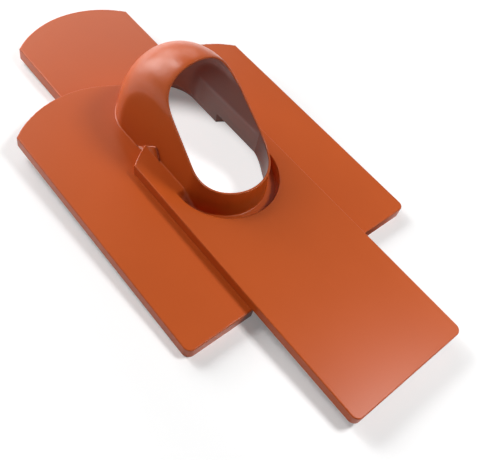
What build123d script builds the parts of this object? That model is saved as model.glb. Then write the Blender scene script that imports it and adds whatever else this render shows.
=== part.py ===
from build123d import *
import os
from math import atan2, cos, degrees, radians, sin, sqrt, tan

os.makedirs("parts", exist_ok=True)

# Tile pattern, in millimetres: x across, y up the slope, z off the upper tile's face.
# Each drop is how far a tile's tail lies below the tail over it.
tile_width = 180.0
tail_rise = 34.5
head_corner = 9.0
upper_length = 396.5
middle_drop = 124.5
middle_length = 356.0
lower_drop = 156.8
level_step = 16.4
upper_lift = 2.4
lower_skirt = 18.0
sheet = 3.0
edge_round = 1.6

# Hood: drafted oblong walls, an arched crown over the tail end.
# Its head end is centred above the upper tile's tail, and its flat length runs down from there.
hood_wall = 2.8
hood_half = 60.0
hood_draft = 4.0
hood_above_tail = 62.5
hood_flat = 70.0
hood_reach = 119.0
hood_top = 122.5
hood_fullness = 2.2
hood_foot = 1.8
fan_count = 7
fan_core = 8.0
fan_depth = 36.4

# Rim of the opening, seen from the side: a level lip, a slope, an upright arch.
lip_height = 23.6
lip_depth = 39.0
slope_angle = 37.8
arch_back = 3.0
lip_round = 64.0
arch_round = 45.0
rim_ease = 0.6

# Scoop round the hood's upper end: a round recess down to the middle tiles' level.
# Its floor rises to the upper tile's face on each side of the hood.
scoop_gap = 10.6
scoop_shift = 4.6
scoop_round = 1.6
scoop_draft = 4.0
scoop_start = 1.5
scoop_ramp = 27.0

# Small web on each side, where the upper tile's tail meets the hood.
web_out = 0.4
web_height = 17.0
web_below_tail = 36.0
web_top = 36.0
web_run = 11.0
web_round = 3.0
web_ease = 0.8

# Ribs underneath.
rib_thickness = 2.4
side_rib_out = 20.5
side_rib_length = 62.0

upper_tail = -upper_length
middle_tail = upper_tail - middle_drop
middle_head = middle_tail + middle_length
lower_tail = middle_tail - lower_drop
middle_top = -level_step
lower_top = -2 * level_step
lower_bottom = lower_top - lower_skirt
upper_bottom = middle_top + upper_lift
hood_head_y = upper_tail + hood_above_tail
hood_crown_y = hood_head_y - hood_flat
hood_axis_z = middle_top - fan_depth
deep = lower_bottom - level_step
draft_slope = tan(radians(hood_draft))
scoop_y = hood_head_y + scoop_shift
scoop_radius = hood_half + scoop_gap
side_rib_x = tile_width / 2 + side_rib_out


def tile_plan(x, head_y, tail_y):
    half = tile_width / 2
    outline = Polyline((x - half, tail_y), (x - half, head_y), (x + half, head_y), (x + half, tail_y))
    tail = ThreePointArc((x + half, tail_y), (x, tail_y - tail_rise), (x - half, tail_y))
    plan = make_face(outline.edges() + tail.edges())
    heads = [v for v in plan.vertices() if abs(v.Y - head_y) < 0.01]
    return fillet(heads, head_corner)


def raised(plan, bottom, top):
    return extrude(Pos(0, 0, bottom) * plan, top - bottom, dir=(0, 0, 1))


def tile_block(plan, bottom, top):
    block = raised(plan, bottom, top)
    return fillet(block.faces().sort_by(Axis.Z)[-1].edges(), edge_round)


def hollow(plan, top):
    return raised(offset(plan, -sheet, kind=Kind.INTERSECTION), deep, top - sheet)


def side_cut(points, half):
    face = make_face(Polyline(*[(0, y, z) for y, z in points], close=True))
    return extrude(Pos(-half, 0, 0) * face, 2 * half, dir=(1, 0, 0))


# A solid block between two corners.
def block_between(low, high):
    size = [b - a for a, b in zip(low, high)]
    middle = [(a + b) / 2 for a, b in zip(low, high)]
    return Pos(*middle) * Box(*size)


# The hood's body; inset 0 gives its outside, the wall thickness its inside.
# Its tail end is a fan of arched sections turned about a low axis across the tile.
def hood_body(inset):
    foot_half = hood_half - draft_slope * (hood_axis_z - middle_top) - inset
    reach = hood_reach - inset
    rise = hood_top - hood_axis_z - inset

    def section(angle):
        c, s = cos(radians(angle)), sin(radians(angle))
        power = hood_fullness
        far = (abs(c / reach) ** power + abs(s / rise) ** power) ** (-1 / power)
        lean_in = draft_slope * s
        d = atan2(lean_in, 1)
        r = (foot_half - far * lean_in) / (1 / cos(d) - lean_in)
        tx, ty = r * cos(d), far - r + r * sin(d)
        wide = foot_half - fan_core * lean_in
        sides = Polyline((-tx, ty), (-wide, fan_core), (wide, fan_core), (tx, ty))
        arch = ThreePointArc((tx, ty), (0, far), (-tx, ty))
        face = make_face(sides.edges() + arch.edges())
        plane = Plane(origin=(0, hood_crown_y, hood_axis_z), x_dir=(1, 0, 0), z_dir=(0, -s, c))
        return plane * face

    faces = [section(90 + 90 * i / (fan_count - 1)) for i in range(fan_count)]
    tail = loft(faces)
    middle = extrude(faces[0], hood_flat, dir=(0, 1, 0))
    low = hood_axis_z + fan_core
    high = lip_height + hood_half
    at_low = foot_half - draft_slope * (low - hood_axis_z)
    at_high = foot_half - draft_slope * (high - hood_axis_z)
    profile = make_face(Polyline((0, 0, low), (at_low, 0, low), (at_high, 0, high), (0, 0, high), close=True))
    head = Pos(0, hood_head_y, 0) * revolve(profile, Axis.Z, 180)
    return tail + middle + head


# The scoop's floor and its ramp, as all the space above them.
def scoop_wedge(grow, top):
    depth = level_step + grow
    start = hood_head_y - scoop_start - grow / 2
    stop = start + scoop_ramp
    far = scoop_y + 2 * scoop_radius
    ramp = Bezier((0, start, -grow), (0, start + 0.35 * scoop_ramp, -grow - 0.16 * level_step),
                  (0, stop - 0.15 * scoop_ramp, -depth), (0, stop, -depth))
    rest = Polyline((0, stop, -depth), (0, far, -depth), (0, far, top), (0, start, top), (0, start, -grow))
    side_face = make_face(ramp.edges() + rest.edges())
    return extrude(Pos(-scoop_radius * 1.5, 0, 0) * side_face, scoop_radius * 3, dir=(1, 0, 0))


# The scoop's shape; grown by the sheet it gives the shell underneath.
def scoop(grow, top):
    depth = level_step + grow
    wall = scoop_radius + grow
    foot = wall - level_step * tan(radians(scoop_draft))
    lip = scoop_radius + scoop_round
    points = [(0, top), (0, -depth), (foot, -depth), (wall, -scoop_round)]
    points += [(wall, top)] if grow > 0 else [(lip, 0), (lip, top)]
    profile = make_face(Polyline(*[(x, 0, z) for x, z in points], close=True))
    return scoop_wedge(grow, top) & (Pos(0, scoop_y, 0) * revolve(profile, Axis.Z))


upper = tile_plan(0, 0, upper_tail)
left = tile_plan(tile_width / 2, middle_head, middle_tail)
right = tile_plan(-tile_width / 2, middle_head, middle_tail)
lower = tile_plan(0, middle_tail + tail_rise, lower_tail)

# The lower tile's edge is rounded only where the middle tiles leave it open.
blocks = tile_block(left, lower_top, middle_top) + tile_block(right, lower_top, middle_top)
blocks += tile_block(lower, lower_bottom, lower_top) + raised(lower & (left + right), lower_bottom, lower_top)
blocks += tile_block(upper, middle_top, 0)
blocks -= block_between((-tile_width, middle_head, middle_top), (tile_width, sheet, upper_bottom))

seam = Pos(0, (middle_head + middle_tail) / 2) * Rectangle(4 * sheet, middle_length - 2 * sheet)
inside = hollow(left, middle_top) + hollow(right, middle_top) + raised(seam, deep, middle_top - sheet)
inside += hollow(lower, lower_top)
inside += hollow(upper, 0)

hood = hood_body(0)
hood_space = hood_body(hood_wall)
scoop_shell = scoop(sheet, -sheet / 2)
scoop_space = scoop(0, 1.0)

web_foot_y = upper_tail - web_below_tail
web_top_y = web_foot_y + web_top
web_end_y = web_top_y + web_run
web_sunk = sheet / 2
web = make_face(Polyline(
    (0, web_foot_y - web_sunk, middle_top - web_sunk), (0, web_foot_y, middle_top),
    (0, web_top_y, web_height), (0, web_end_y, -web_sunk), (0, web_end_y, middle_top - web_sunk), close=True))
web = fillet([v for v in web.vertices() if abs(v.Z - web_height) < 0.01], web_round)
web_inner = hood_half - hood_wall + web_sunk / 4
web = extrude(Pos(web_inner, 0, 0) * web, hood_half + web_out - web_inner, dir=(1, 0, 0))
web_edges = [e for e in web.faces().sort_by(Axis.X)[-1].edges() if e.center().Z > -web_sunk]
web = chamfer(web_edges, web_ease)
webs = web + mirror(web, Plane.YZ)

shell = blocks + hood + scoop_shell + webs
shell -= inside - scoop_shell
shell -= scoop_space - hood
shell -= hood_space

# The rim's side line.
lip_corner_y = hood_head_y + hood_half - lip_depth
arch_y = hood_crown_y - arch_back
turn_z = lip_height + (lip_corner_y - arch_y) * tan(radians(slope_angle))
far_y, far_z = hood_head_y + 2 * hood_half, hood_top + hood_half
rim_line = Polyline((0, far_y, lip_height), (0, lip_corner_y, lip_height), (0, arch_y, turn_z),
                    (0, arch_y, far_z), (0, far_y, far_z), close=True)
rim_face = make_face(rim_line)
rim_face = fillet([v for v in rim_face.vertices() if abs(v.Y - lip_corner_y) < 0.01], lip_round)
rim_face = fillet([v for v in rim_face.vertices() if abs(v.Z - turn_z) < 0.01], arch_round)
shell -= extrude(Pos(-tile_width / 2, 0, 0) * rim_face, tile_width, dir=(1, 0, 0))

# The rim's edges are eased.
rim = [f for f in shell.faces() if f.center().Z > lip_height - 0.1 and abs(f.normal_at().X) < 1e-4
       and f.bounding_box().size.X < 2 * hood_half and f.area < 2000]
rim_edges = [e for f in rim for e in f.edges()]
eased = [e for e in rim_edges if sum(e.is_same(other) for other in rim_edges) == 1]
shell = chamfer(eased, rim_ease)

rib_start = scoop_y + scoop_radius + sheet / 2
shell += block_between((-rib_thickness / 2, rib_start, upper_bottom), (rib_thickness / 2, -sheet / 2, -sheet / 2))
for x in (side_rib_x, -side_rib_x):
    shell += block_between((x - rib_thickness / 2, middle_head - side_rib_length, lower_top),
                           (x + rib_thickness / 2, middle_head - sheet / 2, middle_top - sheet / 2))

# A small eased corner along the hood's foot, below the webs and then above them into the scoop.
def foot_ease(ground):
    standing = hood + ground
    line = [e for e in standing.edges() if e.bounding_box().max.Z < 0.01 and e.bounding_box().min.Z > middle_top - 0.01
            and e.bounding_box().size.X < 2 * hood_half + 1 and abs(e.center().X) < hood_half + 1]
    ring = chamfer(line, hood_foot) & hood_body(-2 * hood_foot) & (Pos(0, 0, 2 * hood_foot) * ground)
    return ring - (Pos(0, 0, -sheet / 2) * ground) - hood_body(hood_wall / 2)


below = block_between((-tile_width, middle_tail - tile_width, lower_top), (tile_width, web_foot_y, middle_top))
shell += foot_ease(below) & raised(left + right, lower_top, 0)
above = block_between((-tile_width, web_end_y, lower_top), (tile_width, 0, 0)) - scoop_wedge(0, 1.0)
shell += foot_ease(above)

# Laid down on its skirts, then set on the ground with its middle over the origin.
contact_y = middle_tail - tail_rise + sheet
lean = atan2(lower_skirt, middle_head - contact_y)
ground = lower_top * cos(lean) - middle_head * sin(lean)
tail_end = (lower_tail - tail_rise) * cos(lean) + lower_bottom * sin(lean)
head_end = -edge_round * sin(lean)
shell = Pos(0, -(tail_end + head_end) / 2, -ground) * Rot(-degrees(lean), 0, 0) * shell

vent_tile = shell.solids()[0]
vent_tile.label = "vent_tile"
export_step(vent_tile, "parts/vent_tile.step")
print("solids", len(shell.solids()), "volume", round(shell.volume / 1000, 1), "size", shell.bounding_box().size)
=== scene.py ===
import math
import bpy
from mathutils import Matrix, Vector


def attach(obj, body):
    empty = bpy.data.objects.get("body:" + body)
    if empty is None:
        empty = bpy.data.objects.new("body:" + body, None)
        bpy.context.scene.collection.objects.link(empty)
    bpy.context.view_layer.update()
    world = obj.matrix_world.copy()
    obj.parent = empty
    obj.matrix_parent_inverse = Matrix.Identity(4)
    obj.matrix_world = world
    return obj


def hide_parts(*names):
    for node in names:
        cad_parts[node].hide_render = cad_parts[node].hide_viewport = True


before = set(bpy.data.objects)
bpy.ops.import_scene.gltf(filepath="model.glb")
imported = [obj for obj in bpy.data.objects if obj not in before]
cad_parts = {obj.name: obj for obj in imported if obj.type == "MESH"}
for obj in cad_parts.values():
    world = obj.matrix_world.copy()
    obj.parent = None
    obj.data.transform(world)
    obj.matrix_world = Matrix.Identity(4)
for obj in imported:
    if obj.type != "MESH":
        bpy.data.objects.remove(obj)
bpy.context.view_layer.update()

print("frame loaded, nodes:", sorted(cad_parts))


# shader maths as plain expressions
class Wire:
    def __init__(self, tree, socket):
        self.tree = tree
        self.socket = socket

    def math(self, operation, first, second=None):
        node = self.tree.nodes.new("ShaderNodeMath")
        node.operation = operation
        feed(self.tree, node.inputs[0], first)
        if second is not None:
            feed(self.tree, node.inputs[1], second)
        return Wire(self.tree, node.outputs[0])

    def __add__(self, other):
        return self.math("ADD", self, other)

    def __radd__(self, other):
        return self.math("ADD", other, self)

    def __sub__(self, other):
        return self.math("SUBTRACT", self, other)

    def __rsub__(self, other):
        return self.math("SUBTRACT", other, self)

    def __mul__(self, other):
        return self.math("MULTIPLY", self, other)

    def __rmul__(self, other):
        return self.math("MULTIPLY", other, self)

    def __truediv__(self, other):
        return self.math("DIVIDE", self, other)

    def __abs__(self):
        return self.math("ABSOLUTE", self)

    def larger(self, other):
        return self.math("MAXIMUM", self, other)

    # another output of the same node
    def beside(self, key):
        return Wire(self.tree, self.socket.node.outputs[key])


def feed(tree, socket, value):
    if isinstance(value, Wire):
        tree.links.new(value.socket, socket)
    else:
        socket.default_value = value


# the nodes of one material or world
class Finish:
    def __init__(self, owner):
        owner.use_nodes = True
        self.owner = owner
        self.tree = owner.node_tree
        self.tree.nodes.clear()

    # any node: settings first, then values or links by socket name
    def node(self, kind, settings=None, sockets=None, out=0):
        node = self.tree.nodes.new("ShaderNode" + kind)
        for key, value in (settings or {}).items():
            setattr(node, key, value)
        for key, value in (sockets or {}).items():
            feed(self.tree, node.inputs[key], value)
        return Wire(self.tree, node.outputs[out]) if len(node.outputs) else None

    def blend(self, share, first, second):
        return self.node("Mix", {"data_type": "RGBA"}, {0: share, 6: first, 7: second}, out=2)

    # eases from low to high while value goes from start to stop
    def ease(self, value, start, stop, low, high):
        return self.node("MapRange", {"interpolation_type": "SMOOTHSTEP"},
                         {0: value, 1: start, 2: stop, 3: low, 4: high})

    def objectPlace(self):
        return self.node("TexCoord", out="Object")

    # 1 for what the camera, gloss or glass sees, 0 for light that falls on the part
    def seenDirectly(self):
        camera = self.node("LightPath", out="Is Camera Ray")
        return camera.larger(camera.beside("Is Glossy Ray").larger(camera.beside("Is Transmission Ray")))

    def close(self, end, surface):
        self.node(end, sockets={"Surface": surface})
        return self.owner


# satin brick-red moulded plastic, sizes in metres
brick = {
    "deep": (0.43, 0.070, 0.0075, 1.0),
    "warm": (0.50, 0.086, 0.0115, 1.0),
    "roughness": 0.32,
    "roughVary": 0.07,
    "specular": 0.25,
    "ior": 1.48,
    "cloud": {"Scale": 9.0, "Detail": 3.0},     # broad tone drift
    "speck": {"Scale": 700.0, "Detail": 2.0},   # fine moulded grain
    "cloudShare": 0.75,
    "grainDepth": 0.00002,
    "sinkDepth": 0.00006,           # faint hollows over the ribs
    "sinkWidth": 0.0028,
    "sinkEnds": (0.010, 0.006),     # how soon a hollow starts and stops
    "ribReach": (0.100, 0.240),
    "sideRib": 0.1105,
    "sideReach": (0.129, 0.190),
    "edgeRadius": 0.0015,           # edges: paler as a painted highlight, and a little smoother
    "edgeSamples": 6,
    "edgeTurn": (0.01, 0.10),
    # colour of the painted highlight along the edges
    "edgeHighlightTone": (0.66, 0.20, 0.075, 1.0),
    "edgeHighlightShare": 0.50,
    "edgePolish": 0.14,
}


def brickPlastic():
    f = Finish(bpy.data.materials.new("brickPlastic"))
    place = f.objectPlace()
    cloud = f.node("TexNoise", sockets={"Vector": place, **brick["cloud"]})
    speck = f.node("TexNoise", sockets={"Vector": place, **brick["speck"]})
    tone = cloud * brick["cloudShare"] + speck * (1 - brick["cloudShare"])
    mixTone = f.blend(tone, brick["deep"], brick["warm"])

    # an edge is where a rounded normal departs from the plain one
    rounded = f.node("Bevel", {"samples": brick["edgeSamples"]}, {"Radius": brick["edgeRadius"]})
    plain = f.node("NewGeometry", out="Normal")
    same = f.node("VectorMath", {"operation": "DOT_PRODUCT"}, {0: rounded, 1: plain}, out="Value")
    turn = f.node("MapRange", sockets={0: 1 - same, 1: brick["edgeTurn"][0], 2: brick["edgeTurn"][1]})
    edge = turn * (0.5 + cloud)
    # paler along the edges: a painted highlight
    skinTone = f.blend(edge * brick["edgeHighlightShare"], mixTone, brick["edgeHighlightTone"])
    drift = (cloud - 0.5) + (speck - 0.5)
    rough = brick["roughness"] + drift * brick["roughVary"] - edge * brick["edgePolish"]

    # sink lines over the ribs underneath
    x = abs(f.node("SeparateXYZ", sockets={"Vector": place}, out="X"))
    y = f.node("SeparateXYZ", sockets={"Vector": place}, out="Y")

    def stripe(distance, reach):
        across = f.ease(distance, 0.0, brick["sinkWidth"], 1.0, 0.0)
        start = f.ease(y, reach[0], reach[0] + brick["sinkEnds"][0], 0.0, 1.0)
        stop = f.ease(y, reach[1] - brick["sinkEnds"][1], reach[1], 1.0, 0.0)
        return across * start * stop

    sink = stripe(x, brick["ribReach"]) + stripe(abs(x - brick["sideRib"]), brick["sideReach"])
    height = speck * brick["grainDepth"] - sink * brick["sinkDepth"]
    bump = f.node("Bump", sockets={"Height": height, "Strength": 1.0, "Distance": 1.0})
    skin = f.node("BsdfPrincipled", sockets={
        "Base Color": skinTone, "Roughness": rough, "Normal": bump,
        "Specular IOR Level": brick["specular"], "IOR": brick["ior"]})
    return f.close("OutputMaterial", skin)


# the moulding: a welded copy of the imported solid, with its edges shaded clean
moulding = {
    "name": "tileMoulding",
    "node": "vent_tile",
    "weld": 0.00001,
    "flatAngle": 0.4,       # degrees
    "creaseAngle": 50.0,
    "normalWeight": 60,
}


def makeMoulding(material):
    bpy.ops.object.select_all(action="DESELECT")
    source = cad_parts[moulding["node"]]
    piece = bpy.data.objects.new(moulding["name"], source.data.copy())
    bpy.context.scene.collection.objects.link(piece)
    piece.select_set(True)
    bpy.context.view_layer.objects.active = piece
    bpy.ops.object.mode_set(mode="EDIT")
    bpy.ops.mesh.select_all(action="SELECT")
    bpy.ops.mesh.remove_doubles(threshold=moulding["weld"])
    bpy.ops.mesh.dissolve_degenerate(threshold=moulding["weld"])
    bpy.ops.mesh.dissolve_limited(angle_limit=math.radians(moulding["flatAngle"]))
    bpy.ops.object.mode_set(mode="OBJECT")
    bpy.ops.object.shade_smooth_by_angle(angle=math.radians(moulding["creaseAngle"]))
    normals = piece.modifiers.new("evenNormals", "WEIGHTED_NORMAL")
    normals.keep_sharp = True
    normals.mode = "FACE_AREA"
    normals.weight = moulding["normalWeight"]
    bpy.ops.object.modifier_apply(modifier=normals.name)
    piece.data.materials.clear()
    piece.data.materials.append(material)
    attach(piece, "root")
    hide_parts(moulding["node"])
    print("moulding made:", len(piece.data.polygons), "faces")


makeMoulding(brickPlastic())


# pale floor that keeps the shadow; its glow is weaker near the tile and white farther out, and a painted
# pool of light on the floor under the mouth makes the view through the mouth white, also in reflections
floor = {
    "name": "paleFloor",
    "size": 8.0,
    "tone": (0.80, 0.80, 0.80, 1.0),
    "halfSize": (0.18, 0.36),       # the tile's half width and half length
    "liftRun": (0.02, 0.50),
    "nearLift": 0.18,
    "farLift": 1.0,
    # a painted pool of light on the floor under the mouth
    "mouthAt": (0.0, -0.02),
    "mouthReach": (0.10, 0.14),
    "mouthRun": (0.5, 1.2),
    "mouthPaintedLight": 0.62,
}


def makeFloor():
    bpy.ops.object.select_all(action="DESELECT")
    bpy.ops.mesh.primitive_plane_add(size=floor["size"], location=(0, 0, 0))
    plane = bpy.context.object
    plane.name = floor["name"]
    f = Finish(bpy.data.materials.new("paleFloorFinish"))
    place = f.objectPlace()
    away = 0.0         # how far out from under the tile
    fromMouth = 0.0    # how far from the place seen through the mouth, squared
    for axis, name in enumerate(("X", "Y")):
        along = f.node("SeparateXYZ", sockets={"Vector": place}, out=name)
        away = away + (abs(along) - floor["halfSize"][axis]).larger(0.0)
        step = (along - floor["mouthAt"][axis]) / floor["mouthReach"][axis]
        fromMouth = fromMouth + step * step
    lift = f.ease(away, *floor["liftRun"], floor["nearLift"], floor["farLift"])
    # painted pool of light on the floor seen through the mouth, also seen in reflections
    paintedMouthLight = f.ease(fromMouth, *floor["mouthRun"], floor["mouthPaintedLight"], 0.0)
    chalk = f.node("BsdfDiffuse", sockets={"Color": floor["tone"]})
    glow = f.node("Emission", sockets={"Color": f.seenDirectly() * (lift + paintedMouthLight), "Strength": 1.0})
    both = f.node("AddShader", sockets={0: chalk, 1: glow})
    plane.data.materials.append(f.close("OutputMaterial", both))
    print("floor made")


makeFloor()

# soft studio light: broad low boxes behind the tails, one high behind them,
# a gridded one over the heads and a weak fill in front
openSpread = 180.0
studio = [
    {"name": "backLow", "at": (0.50, -1.9, 0.40), "aim": (0.0, -0.1, 0.08), "size": 0.7, "power": 9.0},
    {"name": "backWide", "at": (0.78, -1.75, 0.92), "aim": (0.0, -0.1, 0.08), "size": 1.0, "power": 20.5},
    {"name": "backMid", "at": (-0.1, -1.9, 0.9), "aim": (0.0, -0.1, 0.05), "size": 0.9, "power": 13.0},
    {"name": "backHigh", "at": (0.25, -1.15, 1.15), "aim": (0.1, 0.0, 0.03), "size": 0.36, "power": 8.2},
    {"name": "tailBox", "at": (-0.9, -1.6, 1.2), "aim": (0.0, -0.1, 0.03), "size": 0.9, "power": 6.5},
    {"name": "headBox", "at": (-0.62, 0.62, 1.35), "aim": (-0.05, 0.46, 0.03), "size": 0.36, "power": 3.8,
     "spread": 84.0},
    {"name": "frontLow", "at": (0.2, 1.8, 0.6), "aim": (0.0, 0.1, 0.03), "size": 0.8, "power": 4.0},
]


def lightStudio():
    world = bpy.data.worlds.new("studioAir")
    bpy.context.scene.world = world
    f = Finish(world)
    air = f.node("Background", sockets={"Color": (1, 1, 1, 1), "Strength": f.seenDirectly()})
    f.close("OutputWorld", air)
    for box in studio:
        lamp = bpy.data.lights.new(box["name"], "AREA")
        lamp.shape = "SQUARE"
        lamp.size = box["size"]
        lamp.energy = box["power"]
        lamp.spread = math.radians(box.get("spread", openSpread))
        stand = bpy.data.objects.new(box["name"], lamp)
        bpy.context.scene.collection.objects.link(stand)
        stand.location = box["at"]
        look = Vector(box["aim"]) - Vector(box["at"])
        stand.rotation_euler = look.to_track_quat("-Z", "Y").to_euler()
    print("studio lit:", len(studio), "boxes")


lightStudio()

# the photograph's view
shot = {
    "at": (0.40538, 0.40172, 0.65423),
    "turn": (36.4559, -8.3267, 139.7990),   # degrees
    "lens": 48.647,
    "sensor": 36.0,
    "nearClip": 0.01,
}


def placeCamera():
    eye = bpy.data.cameras.new("shotCamera")
    eye.sensor_fit = "HORIZONTAL"
    eye.sensor_width = shot["sensor"]
    eye.lens = shot["lens"]
    eye.clip_start = shot["nearClip"]
    stand = bpy.data.objects.new("shotCamera", eye)
    bpy.context.scene.collection.objects.link(stand)
    stand.location = shot["at"]
    stand.rotation_euler = [math.radians(a) for a in shot["turn"]]
    bpy.context.scene.camera = stand
    print("camera placed")


placeCamera()
bpy.context.scene.view_settings.view_transform = "Standard"
